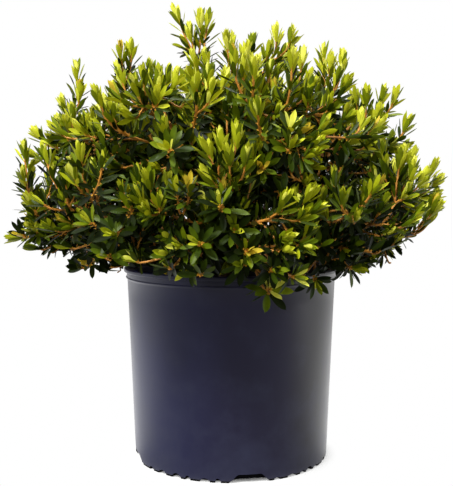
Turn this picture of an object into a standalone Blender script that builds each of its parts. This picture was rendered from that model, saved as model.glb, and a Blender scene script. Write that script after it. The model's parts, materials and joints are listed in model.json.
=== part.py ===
"""Azalea shrub in a round nursery pot.

The pot stands on its flat underside at the origin, +Z is up, and every length is in metres. A short flared stem
rises from the potting mix and forks into fifteen boughs. Each bough ends at one mass of foliage, and the masses
share out a dome among themselves: each keeps to the cone of directions that are nearer to its own axis than to
any other's. Inside its cone a mass is one solid: a stem that twigs grow from, whorls of leaves at the twigs' ends,
and a core where the foliage is too dense to see into.
"""

import math
import random

import bmesh
import bpy
from mathutils import Vector

# Clearance between two solids that touch on the real plant
GAP = 0.0003

# Pot: a moulded nursery container with a rolled lip, a recessed band and a ridge under it
POT_HEIGHT = 0.248
RIM_RADIUS = 0.140
RIM_WIDTH = 0.0045
LIP_HEIGHT = 0.0055
BAND_RADIUS = 0.1352
RIDGE_RADIUS = 0.1366
RIDGE_TOP = 0.2340
RIDGE_HEIGHT = 0.0030
SHOULDER_RADIUS = 0.1345
FOOT_RADIUS = 0.1268
FOOT_BEVEL = 0.0030
POT_WALL = 0.0025
POT_FLOOR = 0.0040
POT_SIDES = 48

# Drain notches, cut through the foot of the wall and the edge of the floor
NOTCH_COUNT = 4
NOTCH_FIRST = math.radians(-80.0)
NOTCH_FOOT_WIDTH = 0.050
NOTCH_TOP_WIDTH = 0.029
NOTCH_HEIGHT = 0.0105
NOTCH_DEPTH = 0.015

# Potting mix, which fills the pot
SOIL_LEVEL = 0.220
SOIL_EDGE_DROP = 0.004
SOIL_BED_RADIUS = 0.030

# Trunk: from a flat cut on the potting mix to the head where it forks
TRUNK_FOOT_RADIUS = 0.0235
TRUNK_NECK_RADIUS = 0.0165
TRUNK_HEAD_RADIUS = 0.0150
TRUNK_HEIGHT = 0.040
TRUNK_LEAN = 0.003
TRUNK_SIDES = 14

# Crown: a dome about a centre at the height of the rim
CROWN_CENTRE = Vector((-0.007, 0.0, 0.268))
RING_SIDES = ("right", "back_right", "back", "back_left", "left", "front_left", "front", "front_right")
UPPER_SIDES = ("right", "back_right", "back_left", "left", "front_left", "front_right")
RINGS = (
    # name, elevation in degrees, reach from the crown's centre, sides anticlockwise from +X
    ("lower", 12.0, 0.284, RING_SIDES),
    ("upper", 50.0, 0.294, UPPER_SIDES),
    ("top", 90.0, 0.282, ("",)),
)
REACH_OF = {"upper_left": 0.300, "lower_left": 0.290, "lower_front": 0.272}
LOBE_SHARPNESS = 9.0
LOBE_DIP = 0.45
LOWEST_RISE = 0.08

# Boughs
BOUGH_SHARE = 0.42
BOUGH_FOOT_RADIUS = 0.0043
BOUGH_TIP_RADIUS = 0.0030
BOUGH_SIDES = 6
BOUGH_RINGS = 5
BOUGH_FOOT_HEIGHT = {"lower": 0.013, "upper": 0.024, "top": 0.030}

# Core of a mass: a blob about its heart, kept inside the mass's cone and between two shares of its reach
CORE_HEART = 0.64
CORE_RADIUS = 0.120
CORE_NEAR = 0.47
CORE_FAR = 0.76
CORE_MARGIN = 0.0025
CORE_LOWEST = 0.262

# Wood inside a mass
SHOOTS = 84
SHOOT_MARGIN = 0.016
STEM_SHARE = 0.70
STEM_SIDES = 5
STEM_TIP_RADIUS = 0.0022
TWIG_FOOT_RADIUS = 0.0023
TWIG_TIP_RADIUS = 0.0018
TWIG_SIDES = 3
TWIG_RINGS = 3
SHORTEST_TWIG = 0.030
TURN_COST = 0.045
UPWARD_TURN = 1.1

# Long shoots that stand out of the dome: azimuth and elevation in degrees, reach
LONG_SHOOTS = (
    (180.0, 77.0, 0.331),
    (130.0, 84.5, 0.316),
    (-5.0, 78.0, 0.298),
    (-20.0, 66.0, 0.296),
    (4.0, 60.0, 0.304),
    (-3.0, 46.7, 0.300),
    (3.0, 27.2, 0.290),
    (-2.0, 16.7, 0.299),
    (-9.0, 5.0, 0.222),
    (-77.0, 3.0, 0.234),
    (186.0, 4.7, 0.294),
    (177.0, 19.8, 0.292),
    (183.0, 33.6, 0.298),
    (179.0, 50.7, 0.319),
    (172.0, 64.8, 0.305),
)

# Leaves: whorls at a shoot's tip, each leaf folded up along its midrib
LEAF_THICKNESS = 0.0013
LEAF_FOLD = 0.0018
LEAF_WIDEST = 0.52
LEAF_SINK = 0.0002
LEAF_STEP = 0.0013
WHORLS = (
    # distance below the tip, leaves, angle from the shoot in degrees, length, width
    (0.004, 3, 32.0, 0.048, 0.0190),
    (0.011, 3, 74.0, 0.052, 0.0200),
)
LEAF_TILT_SPREAD = 9.0
LEAF_LENGTH_SPREAD = 0.12
LEAF_SIZES = (1.0, 0.72)
LEAVES_LOWEST = 0.238
LONG_SHOOT_LOWEST = 0.212
CLEARANCE = 0.0012
FLAT_ANGLE = math.radians(0.02)

UP = Vector((0.0, 0.0, 1.0))
# Steps of the plastic-number sequence, which spreads any count of points evenly over a square
SWEEP_STEPS = (0.7548776662466927, 0.5698402909980532)

COLOURS = {
    "pot": ((0.020, 0.021, 0.030), 0.42),
    "soil": ((0.045, 0.028, 0.018), 0.95),
    "wood": ((0.190, 0.110, 0.060), 0.85),
    "foliage": ((0.150, 0.235, 0.040), 0.50),
}


class Mass:
    """One mass of foliage: its name, its ring, the axis of its cone and how far it reaches along it."""

    def __init__(self, ring, side, azimuth, elevation, reach):
        self.ring = ring
        self.name = f"{ring}_{side}" if side else ring
        self.axis = direction_of(azimuth, elevation)
        self.reach = REACH_OF.get(self.name, reach)
        self.bough_tip = CROWN_CENTRE + self.axis * (BOUGH_SHARE * self.reach)


class Twig:
    """A tapering length of wood: the points it runs through and its radius at each."""

    def __init__(self, points, foot_radius, tip_radius):
        self.points = points
        last = len(points) - 1
        self.radii = [foot_radius + (tip_radius - foot_radius) * i / last for i in range(last + 1)]

    def at(self, share):
        """The point, heading and radius at this share of the way along."""
        place = share * (len(self.points) - 1)
        i = min(int(place), len(self.points) - 2)
        part = place - i
        start, end = self.points[i], self.points[i + 1]
        radius = self.radii[i] + (self.radii[i + 1] - self.radii[i]) * part
        return start.lerp(end, part), (end - start).normalized(), radius

    def length(self):
        return sum((b - a).length for a, b in zip(self.points, self.points[1:]))

    def before_tip(self, distance):
        """The point and heading this far before the tip."""
        share = max(0.0, 1.0 - distance / self.length())
        point, heading, _ = self.at(share)
        return point, heading


# ---------------------------------------------------------------- scene helpers


def clear_scene():
    for thing in list(bpy.data.objects):
        bpy.data.objects.remove(thing, do_unlink=True)


def make_material(name):
    colour, roughness = COLOURS[name]
    made = bpy.data.materials.new(name)
    made.use_nodes = True
    shader = made.node_tree.nodes["Principled BSDF"]
    shader.inputs["Base Color"].default_value = (*colour, 1.0)
    shader.inputs["Roughness"].default_value = roughness
    shader.inputs["Metallic"].default_value = 0.0
    return made


def add_object(name, bm, material=None, collection=None):
    """Turns a bmesh into an object, with its normals facing out."""
    bmesh.ops.recalc_face_normals(bm, faces=bm.faces)
    mesh = bpy.data.meshes.new(name)
    bm.to_mesh(mesh)
    bm.free()
    if material:
        mesh.materials.append(material)
    made = bpy.data.objects.new(name, mesh)
    (collection or bpy.context.scene.collection).objects.link(made)
    return made


def apply_modifiers(thing):
    """Replaces the object's mesh by what its modifiers make of it."""
    graph = bpy.context.evaluated_depsgraph_get()
    made = bpy.data.meshes.new_from_object(thing.evaluated_get(graph))
    thing.modifiers.clear()
    thing.data = made


def remove_objects(things):
    for thing in list(things):
        bpy.data.objects.remove(thing, do_unlink=True)


def smooth(thing, angle=math.radians(32.0)):
    thing.data.shade_smooth()
    thing.data.set_sharp_from_angle(angle=angle)


# ---------------------------------------------------------------- shapes


def turned(profile, sides):
    """A solid of revolution about Z, from (radius, height) pairs that start and end on the axis."""
    bm = bmesh.new()
    points = [bm.verts.new((radius, 0.0, height)) for radius, height in profile]
    edges = [bm.edges.new(pair) for pair in zip(points, points[1:])]
    bmesh.ops.spin(
        bm,
        geom=points + edges,
        cent=(0.0, 0.0, 0.0),
        axis=(0.0, 0.0, 1.0),
        angle=2.0 * math.pi,
        steps=sides,
        use_merge=True,
    )
    bmesh.ops.remove_doubles(bm, verts=bm.verts, dist=1e-6)
    return bm


def frames_along(points):
    """A pair of vectors across the path at each point, carried along it without twisting."""
    headings = []
    for i in range(len(points)):
        before, after = points[max(i - 1, 0)], points[min(i + 1, len(points) - 1)]
        headings.append((after - before).normalized())
    side = headings[0].orthogonal().normalized()
    frames = []
    for heading in headings:
        side = (side - heading * side.dot(heading)).normalized()
        frames.append((side, heading.cross(side)))
    return frames


def tube(points, radii, sides, frames=None):
    """A closed tube along a path, with a flat cap at each end."""
    bm = bmesh.new()
    rings = []
    for point, radius, (across, over) in zip(points, radii, frames or frames_along(points)):
        turns = [2.0 * math.pi * i / sides for i in range(sides)]
        spokes = [across * math.cos(turn) + over * math.sin(turn) for turn in turns]
        rings.append([bm.verts.new(point + spoke * radius) for spoke in spokes])
    for lower, upper in zip(rings, rings[1:]):
        for i in range(sides):
            j = (i + 1) % sides
            bm.faces.new((lower[i], lower[j], upper[j], upper[i]))
    bm.faces.new(reversed(rings[0]))
    bm.faces.new(rings[-1])
    return bm


def bezier(start, first, second, end, rings):
    """Points along a cubic curve, at even steps of its parameter."""
    points = []
    for i in range(rings):
        t = i / (rings - 1)
        s = 1.0 - t
        points.append(start * s**3 + first * (3 * s * s * t) + second * (3 * s * t * t) + end * t**3)
    return points


def leaf_corners(foot, heading, face, length, width):
    """Foot, tip, left, right and keel of a leaf: its edges are raised from the midrib, and its keel is under it."""
    side = heading.cross(face).normalized()
    face = side.cross(heading).normalized()
    widest = foot + heading * (length * LEAF_WIDEST)
    edge = widest + face * LEAF_FOLD
    return (
        foot,
        foot + heading * length,
        edge + side * (width / 2),
        edge - side * (width / 2),
        widest - face * LEAF_THICKNESS,
    )


def leaf(corners):
    bm = bmesh.new()
    foot, tip, left, right, keel = (bm.verts.new(corner) for corner in corners)
    for edge in (left, right):
        bm.faces.new((foot, tip, edge))
        bm.faces.new((foot, edge, keel))
        bm.faces.new((tip, edge, keel))
    return bm


# ---------------------------------------------------------------- pot and potting mix


def pot_profile():
    """The pot's section, from the middle of its underside, up the outside and down the inside."""
    lip_foot = POT_HEIGHT - LIP_HEIGHT
    inside_lip = RIM_RADIUS - RIM_WIDTH
    return (
        (0.0, 0.0),
        (FOOT_RADIUS - FOOT_BEVEL, 0.0),
        (FOOT_RADIUS, FOOT_BEVEL),
        (SHOULDER_RADIUS, RIDGE_TOP - 2.0 * RIDGE_HEIGHT),
        (RIDGE_RADIUS, RIDGE_TOP - RIDGE_HEIGHT),
        (RIDGE_RADIUS, RIDGE_TOP),
        (BAND_RADIUS, RIDGE_TOP + RIDGE_HEIGHT / 2),
        (BAND_RADIUS, lip_foot - RIDGE_HEIGHT / 2),
        (RIM_RADIUS, lip_foot),
        (RIM_RADIUS, POT_HEIGHT - LIP_HEIGHT / 4),
        (RIM_RADIUS - RIM_WIDTH / 3, POT_HEIGHT),
        (inside_lip, POT_HEIGHT),
        (BAND_RADIUS - POT_WALL, lip_foot),
        (SHOULDER_RADIUS - POT_WALL, RIDGE_TOP - 2.0 * RIDGE_HEIGHT),
        (FOOT_RADIUS - POT_WALL, POT_FLOOR),
        (0.0, POT_FLOOR),
    )


def notch_cutter(turn):
    """A wedge with slanting sides that goes through the foot of the wall at this azimuth."""
    out = Vector((math.cos(turn), math.sin(turn), 0.0))
    side = Vector((-out.y, out.x, 0.0))
    half_foot, half_top = NOTCH_FOOT_WIDTH / 2, NOTCH_TOP_WIDTH / 2
    margin = 0.010
    bm = bmesh.new()
    ends = []
    for radius in (FOOT_RADIUS - NOTCH_DEPTH, FOOT_RADIUS + margin):
        corners = []
        for half, height in ((2.0 * half_foot - half_top, -NOTCH_HEIGHT), (half_top, NOTCH_HEIGHT)):
            corners.append(bm.verts.new(out * radius + side * half + UP * height))
            corners.append(bm.verts.new(out * radius - side * half + UP * height))
        ends.append([corners[0], corners[1], corners[3], corners[2]])
    inner, outer = ends
    bm.faces.new(inner)
    bm.faces.new(reversed(outer))
    for i in range(4):
        bm.faces.new((inner[i], inner[(i + 1) % 4], outer[(i + 1) % 4], outer[i]))
    return bm


def build_pot(material):
    pot = add_object("pot", turned(pot_profile(), POT_SIDES), material)
    cutters = bpy.data.collections.new("drain_notches")
    for i in range(NOTCH_COUNT):
        bm = notch_cutter(NOTCH_FIRST + 2.0 * math.pi * i / NOTCH_COUNT)
        add_object(f"notch_{i}", bm, collection=cutters)
    cut = pot.modifiers.new("drain", "BOOLEAN")
    cut.operation = "DIFFERENCE"
    cut.operand_type = "COLLECTION"
    cut.collection = cutters
    cut.solver = "EXACT"
    apply_modifiers(pot)
    remove_objects(cutters.objects)
    bpy.data.collections.remove(cutters)
    smooth(pot)


def pot_inside_radius(height):
    """The radius of the pot's inner wall at this height above the floor."""
    share = (height - POT_FLOOR) / (RIDGE_TOP - 2.0 * RIDGE_HEIGHT - POT_FLOOR)
    return FOOT_RADIUS + (SHOULDER_RADIUS - FOOT_RADIUS) * share - POT_WALL


def build_soil(material):
    """The potting mix: it fills the pot and rises a little towards the trunk."""
    bottom = POT_FLOOR + GAP
    edge = SOIL_LEVEL - SOIL_EDGE_DROP
    profile = (
        (0.0, bottom),
        (pot_inside_radius(bottom) - 2.0 * GAP, bottom),
        (pot_inside_radius(edge) - 2.0 * GAP, edge),
        (SOIL_BED_RADIUS, SOIL_LEVEL),
        (0.0, SOIL_LEVEL),
    )
    smooth(add_object("potting_mix", turned(profile, POT_SIDES), material))


# ---------------------------------------------------------------- crown


def direction_of(azimuth, elevation):
    turn, rise = math.radians(azimuth), math.radians(elevation)
    return Vector((math.cos(turn) * math.cos(rise), math.sin(turn) * math.cos(rise), math.sin(rise)))


def list_masses():
    masses = []
    for ring, elevation, reach, sides in RINGS:
        for i, side in enumerate(sides):
            masses.append(Mass(ring, side, 360.0 * i / len(sides), elevation, reach))
    return masses


def nearest_mass(direction, masses):
    return max(masses, key=lambda mass: mass.axis.dot(direction))


def crown_reach(direction, masses):
    """How far the crown reaches this way: the masses' reaches, blended, with a dip where two masses meet."""
    nearness = [mass.axis.dot(direction) - 1.0 for mass in masses]
    weights = [math.exp(LOBE_SHARPNESS * near) for near in nearness]
    blended = sum(weight * mass.reach for weight, mass in zip(weights, masses)) / sum(weights)
    return blended * (1.0 + LOBE_DIP * max(nearness))


def in_cone(point, mass, masses, margin):
    """True if the point lies in the mass's own cone of directions, this far from the next one's."""
    offset = point - CROWN_CENTRE
    for other in masses:
        if other is mass:
            continue
        across = mass.axis - other.axis
        if offset.dot(across) < margin * across.length:
            return False
    return True


def clear_of_pot(point, margin):
    """True if the point is above the pot's rim or outside its widest radius."""
    return point.z > POT_HEIGHT + margin or math.hypot(point.x, point.y) > RIM_RADIUS + margin


def segment_distance(a, b, c, d):
    """The least distance between the segments a to b and c to d, within a tenth of a millimetre."""
    best = 1.0
    for one, other in (((a, b), (c, d)), ((c, d), (a, b))):
        start, along = other[0], other[1] - other[0]
        steps = 8
        for i in range(steps + 1):
            point = one[0].lerp(one[1], i / steps)
            share = (point - start).dot(along) / max(along.length_squared, 1e-12)
            nearest = start + along * min(max(share, 0.0), 1.0)
            best = min(best, (point - nearest).length)
    return best


def clear_of_limbs(start, end, half_width, limbs):
    """True if a strip of this half width between two points touches no bough."""
    for limb in limbs:
        for i in range(len(limb.points) - 1):
            room = limb.radii[i] + half_width + CLEARANCE
            if segment_distance(start, end, limb.points[i], limb.points[i + 1]) < room:
                return False
    return True


# ---------------------------------------------------------------- trunk and boughs


def trunk_radius(share):
    """The trunk's radius from its foot, 0, to its head, 1: a root flare that fades, then a slow taper."""
    flare = (TRUNK_FOOT_RADIUS - TRUNK_NECK_RADIUS) * math.exp(-5.0 * share)
    return flare + TRUNK_NECK_RADIUS + (TRUNK_HEAD_RADIUS - TRUNK_NECK_RADIUS) * share


def trunk_mesh(margin=0.0):
    """The trunk, grown outwards by the margin where it is to cut the boughs."""
    rings = 9
    foot = SOIL_LEVEL + GAP - margin
    points, radii = [], []
    for i in range(rings):
        share = i / (rings - 1)
        height = (TRUNK_HEIGHT + 2.0 * margin) * share
        points.append(Vector((TRUNK_LEAN * share, 0.0, foot + height)))
        radii.append(trunk_radius(share) * (1.0 - 0.30 * share**6) + margin)
    level = (Vector((1.0, 0.0, 0.0)), Vector((0.0, 1.0, 0.0)))
    return tube(points, radii, TRUNK_SIDES, [level] * rings)


def bough_path(mass):
    """One limb that leaves the trunk steeply and bends over to its mass."""
    heart = Vector((0.0, 0.0, SOIL_LEVEL + BOUGH_FOOT_HEIGHT[mass.ring]))
    outward = Vector((mass.axis.x, mass.axis.y, 0.0))
    start = heart + outward * (TRUNK_NECK_RADIUS * 0.45)
    span = (mass.bough_tip - start).length
    first = start + (outward * 0.75 + UP).normalized() * (span * 0.30)
    second = mass.bough_tip - mass.axis * (span * 0.40)
    return Twig(bezier(start, first, second, mass.bough_tip, BOUGH_RINGS), BOUGH_FOOT_RADIUS, BOUGH_TIP_RADIUS)


def build_bough(mass, limb, cutter, material):
    """The bough, cut where it meets the trunk."""
    bough = add_object(f"bough_{mass.name}", tube(limb.points, limb.radii, BOUGH_SIDES), material)
    cut = bough.modifiers.new("seat", "BOOLEAN")
    cut.operation = "DIFFERENCE"
    cut.object = cutter
    cut.solver = "EXACT"
    apply_modifiers(bough)
    smooth(bough, math.radians(60.0))


# ---------------------------------------------------------------- masses of foliage


def shoot_direction(number):
    """The direction of a shoot by its number. Any first so many of them are spread evenly over the dome."""
    turn = 2.0 * math.pi * ((0.5 + number * SWEEP_STEPS[0]) % 1.0)
    rise = LOWEST_RISE + (1.0 - LOWEST_RISE) * ((0.5 + number * SWEEP_STEPS[1]) % 1.0)
    level = math.sqrt(1.0 - rise * rise)
    return Vector((level * math.cos(turn), level * math.sin(turn), rise))


def turned_inwards(direction, masses):
    """The direction, turned towards its own mass's axis until a shoot that way is well inside the cone."""
    mass = nearest_mass(direction, masses)
    for _ in range(8):
        if in_cone(CROWN_CENTRE + direction * mass.reach, mass, masses, SHOOT_MARGIN):
            break
        direction = direction.lerp(mass.axis, 0.06).normalized()
    return direction


def list_shoots(masses, count):
    """(direction, reach, number) for the long shoots and for so many of the even ones."""
    shoots = []
    for number, (azimuth, elevation, reach) in enumerate(LONG_SHOOTS):
        shoots.append((turned_inwards(direction_of(azimuth, elevation), masses), reach, -1 - number))
    for number in range(count):
        direction = turned_inwards(shoot_direction(number), masses)
        shoots.append((direction, crown_reach(direction, masses), number))
    return shoots


def shoot_tip(direction, reach):
    """Where a shoot's wood ends, and its heading there: outwards, and turned up towards the light."""
    heading = (direction + UP * UPWARD_TURN * (1.0 - max(direction.z, 0.0))).normalized()
    overhang = WHORLS[0][3] * math.cos(math.radians(WHORLS[0][2]))
    return CROWN_CENTRE + direction * reach - heading * overhang, heading


def best_fork(wood, tip):
    """The place on the wood already grown that a new shoot leaves from: near its tip, and heading its way."""
    best = None
    for twig in wood:
        for share in (0.35, 0.5, 0.65, 0.8):
            point, heading, radius = twig.at(share)
            way = tip - point
            if way.length < SHORTEST_TWIG:
                continue
            cost = way.length + TURN_COST * (1.0 - heading.dot(way.normalized()))
            if best is None or cost < best[0]:
                best = (cost, point, heading, radius)
    return best


def grow_twig(wood, tip, heading):
    """A twig from the best fork to the tip, or None if no fork is far enough away."""
    found = best_fork(wood, tip)
    if found is None:
        return None
    _, fork, parent_heading, parent_radius = found
    span = (tip - fork).length
    first = fork + (parent_heading + (tip - fork).normalized()).normalized() * (span * 0.3)
    second = tip - heading * (span * 0.35)
    foot_radius = min(TWIG_FOOT_RADIUS, parent_radius * 0.9)
    return Twig(bezier(fork, first, second, tip, TWIG_RINGS), foot_radius, TWIG_TIP_RADIUS)


def twig_has_room(twig, mass, masses, limbs):
    for start, end, radius in zip(twig.points, twig.points[1:], twig.radii):
        if not in_cone(end, mass, masses, radius + CLEARANCE) or not clear_of_pot(end, radius + CLEARANCE):
            return False
        if not clear_of_limbs(start, end, radius, limbs):
            return False
    return True


def leaf_has_room(corners, lowest, mass, masses, limbs):
    if not all(corner.z > lowest and in_cone(corner, mass, masses, CLEARANCE) for corner in corners):
        return False
    foot, tip, left, right = corners[:4]
    for start, end in ((foot, tip), (left, tip), (right, tip), (foot, corners[4])):
        if not all(clear_of_pot(start.lerp(end, i / 4), CLEARANCE) for i in range(5)):
            return False
    return clear_of_limbs(foot, tip, (left - right).length / 2, limbs)


def leaves_on(twig, number, has_room):
    """The leaves of a shoot, as corners: whorls near its tip, turned by a seeded rule. A leaf with no room is
    tried again smaller, and then left out."""
    chance = random.Random(number)
    found = []
    turn = chance.uniform(0.0, 2.0 * math.pi)
    for below, count, angle, length, width in WHORLS:
        if below > 0.8 * twig.length():
            continue
        for i in range(count):
            point, heading = twig.before_tip(below + LEAF_STEP * i)
            across = heading.orthogonal().normalized()
            over = heading.cross(across)
            around = turn + 2.0 * math.pi * i / count
            out = across * math.cos(around) + over * math.sin(around)
            lean = math.radians(angle + chance.uniform(-LEAF_TILT_SPREAD, LEAF_TILT_SPREAD))
            way = heading * math.cos(lean) + out * math.sin(lean)
            face = heading * math.sin(lean) - out * math.cos(lean)
            own_size = 1.0 + chance.uniform(-LEAF_LENGTH_SPREAD, LEAF_LENGTH_SPREAD)
            for size in LEAF_SIZES:
                size *= own_size
                corners = leaf_corners(point - way * LEAF_SINK, way, face, length * size, width * size)
                if has_room(corners):
                    found.append(corners)
                    break
        turn += math.pi / count
    return found


def in_core_space(point, mass, masses):
    offset = point - CROWN_CENTRE
    near, far = CORE_NEAR * mass.reach, CORE_FAR * crown_reach(offset.normalized(), masses)
    if not near < offset.length < far or point.z < CORE_LOWEST:
        return False
    return in_cone(point, mass, masses, CORE_MARGIN)


def core_mesh(mass, masses):
    """A blob whose corners go out from the mass's heart as far as its space lets them."""
    bm = bmesh.new()
    bmesh.ops.create_icosphere(bm, subdivisions=2, radius=1.0)
    heart = CROWN_CENTRE + mass.axis * (CORE_HEART * mass.reach)
    for corner in bm.verts:
        way, low, high = corner.co.normalized(), 0.0, CORE_RADIUS
        for _ in range(12):
            middle = (low + high) / 2
            if in_core_space(heart + way * middle, mass, masses):
                low = middle
            else:
                high = middle
        corner.co = heart + way * low
    return bm


def largest_shell(thing):
    """Keeps the largest closed shell of the mesh: loose scraps go, and sealed hollows are filled."""
    bm = bmesh.new()
    bm.from_mesh(thing.data)
    bmesh.ops.triangulate(bm, faces=bm.faces)
    unseen, shells = set(bm.faces), []
    while unseen:
        shell, edge_of_shell = [], [unseen.pop()]
        while edge_of_shell:
            face = edge_of_shell.pop()
            shell.append(face)
            for edge in face.edges:
                for other in edge.link_faces:
                    if other in unseen:
                        unseen.remove(other)
                        edge_of_shell.append(other)
        shells.append(shell)
    shells.sort(key=shell_volume)
    doomed = [face for shell in shells[:-1] for face in shell]
    bmesh.ops.delete(bm, geom=doomed, context="FACES")
    bmesh.ops.dissolve_limit(bm, angle_limit=FLAT_ANGLE, verts=bm.verts, edges=bm.edges)
    bmesh.ops.triangulate(bm, faces=bm.faces)
    bm.to_mesh(thing.data)
    bm.free()
    return len(shells) - 1


def shell_volume(shell):
    """The signed volume inside triangles that face outwards."""
    total = 0.0
    for face in shell:
        a, b, c = (vertex.co for vertex in face.verts)
        total += a.dot(b.cross(c))
    return total / 6.0


def build_mass(mass, masses, shoots, limbs, material):
    """One mass: a stem that carries on from the bough, a core, twigs by the seeded rule, and leaves, all fused."""
    start = mass.bough_tip + mass.axis * GAP
    stem = Twig([start, CROWN_CENTRE + mass.axis * (STEM_SHARE * mass.reach)], BOUGH_TIP_RADIUS, STEM_TIP_RADIUS)
    wood, pieces = [stem], bpy.data.collections.new("pieces")
    add_object("core", core_mesh(mass, masses), collection=pieces)
    leaf_count = 0
    for direction, reach, number in shoots:
        if nearest_mass(direction, masses) is not mass:
            continue
        tip, heading = shoot_tip(direction, reach)
        twig = grow_twig(wood, tip, heading)
        if twig is None or not twig_has_room(twig, mass, masses, limbs):
            continue
        wood.append(twig)
        add_object("twig", tube(twig.points, twig.radii, TWIG_SIDES), collection=pieces)
        lowest = LONG_SHOOT_LOWEST if number < 0 else LEAVES_LOWEST

        def has_room(corners):
            return leaf_has_room(corners, lowest, mass, masses, limbs)

        for corners in leaves_on(twig, number, has_room):
            add_object("leaf", leaf(corners), collection=pieces)
            leaf_count += 1
    node = add_object(f"foliage_{mass.name}", tube(stem.points, stem.radii, STEM_SIDES), material)
    fuse = node.modifiers.new("fuse", "BOOLEAN")
    fuse.operation = "UNION"
    fuse.operand_type = "COLLECTION"
    fuse.collection = pieces
    fuse.solver = "MANIFOLD"
    apply_modifiers(node)
    remove_objects(pieces.objects)
    bpy.data.collections.remove(pieces)
    scraps = largest_shell(node)
    print(mass.name, "twigs", len(wood) - 1, "leaves", leaf_count, "faces", len(node.data.polygons), "scraps", scraps)


def main():
    clear_scene()
    materials = {name: make_material(name) for name in COLOURS}
    build_pot(materials["pot"])
    build_soil(materials["soil"])
    smooth(add_object("trunk", trunk_mesh(), materials["wood"]), math.radians(50.0))

    masses = list_masses()
    limbs = [bough_path(mass) for mass in masses]
    cutter = add_object("trunk_cutter", trunk_mesh(GAP))
    for mass, limb in zip(masses, limbs):
        build_bough(mass, limb, cutter, materials["wood"])
    remove_objects([cutter])

    shoots = list_shoots(masses, SHOOTS)
    for mass in masses:
        build_mass(mass, masses, shoots, limbs, materials["foliage"])


main()
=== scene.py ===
import json
import math
import random

import bmesh
import bpy
import numpy as np
from mathutils import Matrix, Vector, noise

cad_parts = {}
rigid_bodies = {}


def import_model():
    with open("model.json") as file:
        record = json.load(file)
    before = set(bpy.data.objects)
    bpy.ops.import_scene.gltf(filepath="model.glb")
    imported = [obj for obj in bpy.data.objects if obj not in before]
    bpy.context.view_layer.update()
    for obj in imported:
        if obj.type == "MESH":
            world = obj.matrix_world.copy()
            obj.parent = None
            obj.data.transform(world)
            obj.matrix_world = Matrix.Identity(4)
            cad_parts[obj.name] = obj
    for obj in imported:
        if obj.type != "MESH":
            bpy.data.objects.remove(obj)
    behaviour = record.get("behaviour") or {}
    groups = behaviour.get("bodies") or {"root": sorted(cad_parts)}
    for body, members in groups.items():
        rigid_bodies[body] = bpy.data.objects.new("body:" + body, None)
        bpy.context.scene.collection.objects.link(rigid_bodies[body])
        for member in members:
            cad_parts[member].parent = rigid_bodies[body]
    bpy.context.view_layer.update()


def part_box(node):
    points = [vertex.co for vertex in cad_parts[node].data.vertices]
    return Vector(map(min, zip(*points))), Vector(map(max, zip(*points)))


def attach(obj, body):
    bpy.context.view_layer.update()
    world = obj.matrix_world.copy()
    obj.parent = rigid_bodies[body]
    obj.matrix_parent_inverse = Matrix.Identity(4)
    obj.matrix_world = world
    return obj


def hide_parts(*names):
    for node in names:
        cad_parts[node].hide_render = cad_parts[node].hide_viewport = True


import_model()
up = Vector((0, 0, 1))
# sizes are in metres and angles in degrees, unless a note says otherwise


def report(stage):
    print("scene:", stage)


def linear(hexCode):
    # sRGB hex to the linear values that Blender works in
    parts = [int(hexCode[i:i + 2], 16) / 255 for i in (0, 2, 4)]
    return tuple(p / 12.92 if p <= 0.04045 else ((p + 0.055) / 1.055) ** 2.4 for p in parts) + (1.0,)


def wire(tree, node, settings=None, links=None):
    # settings are sockets or plain properties, links are socket: (node, its output), and sockets that share
    # a name go by number
    for key, value in (settings or {}).items():
        if isinstance(key, int) or key in node.inputs:
            node.inputs[key].default_value = value
        else:
            setattr(node, key, value)
    for key, (source, output) in (links or {}).items():
        tree.links.new(source.outputs[output], node.inputs[key])


def addNode(tree, kind, settings=None, links=None, stops=()):
    # stops are the places and colours of a ramp
    node = tree.nodes.new("ShaderNode" + kind)
    wire(tree, node, settings, links)
    for i, (position, hexCode) in enumerate(stops):
        bands = node.color_ramp.elements
        band = bands[i] if i < 2 else bands.new(position)
        band.position = position
        band.color = linear(hexCode)
    return node


def perMetre(size):
    # a pattern's scale from its real size in millimetres
    return 1000 / size


def newMaterial(name):
    # a material with a Principled shader, its tree and its output
    material = bpy.data.materials.new(name)
    material.use_nodes = True
    tree = material.node_tree
    return material, tree, tree.nodes["Principled BSDF"], tree.nodes["Material Output"]


def newObject(name, data):
    thing = bpy.data.objects.new(name, data)
    bpy.context.scene.collection.objects.link(thing)
    return thing


def addPiece(name, mesh, materials, nodes=()):
    piece = newObject(name, mesh)
    for material in materials:
        mesh.materials.append(material)
    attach(piece, "root")
    if nodes:
        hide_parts(*nodes)
    return piece


# Nursery pot: injection moulded polyethylene, near black with a blue cast, satin, and scuffed near its foot
# by handling. Light is painted into its colour: lighter and bluer towards its left, a painted reflection of
# the lit edge, and greyer and darker towards its right, painted shade
potPlastic = {
    "base": "18162E",
    # the next two colours are painted light: the right side's greyer one is painted shade, the left side's
    # bluer one a painted reflection of its lit edge
    "paintedShadeSide": "131217",
    "paintedLitSide": "1B1F40",
    "scuffed": "26283E",
    "paintedLitSideFrom": (0.00, -0.12),  # across the pot, in metres along x
    "paintedShadeSideFrom": (0.065, 0.105),
    "scuffSize": 35,  # mm across a scuffed patch
    "scuffedBelow": (0.13, 0.01),  # height at which the scuffs begin, and where they are strongest
    "scuffShare": 0.22,  # how much more the foot is scuffed
    "scuffShows": (0.52, 0.95),
    "grainSize": 2.2,  # mm, orange peel of the mould, drawn coarser than life so that it shows
    "grainDepth": 0.0004,
    "roughness": (0.27, 0.40),
    "ior": 1.56,
}
# nearly black: painted shade under the foot and inside its cuts
footShadePlastic = {"base": "0B0A0D", "roughness": 0.75, "shine": 0.15}


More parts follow.
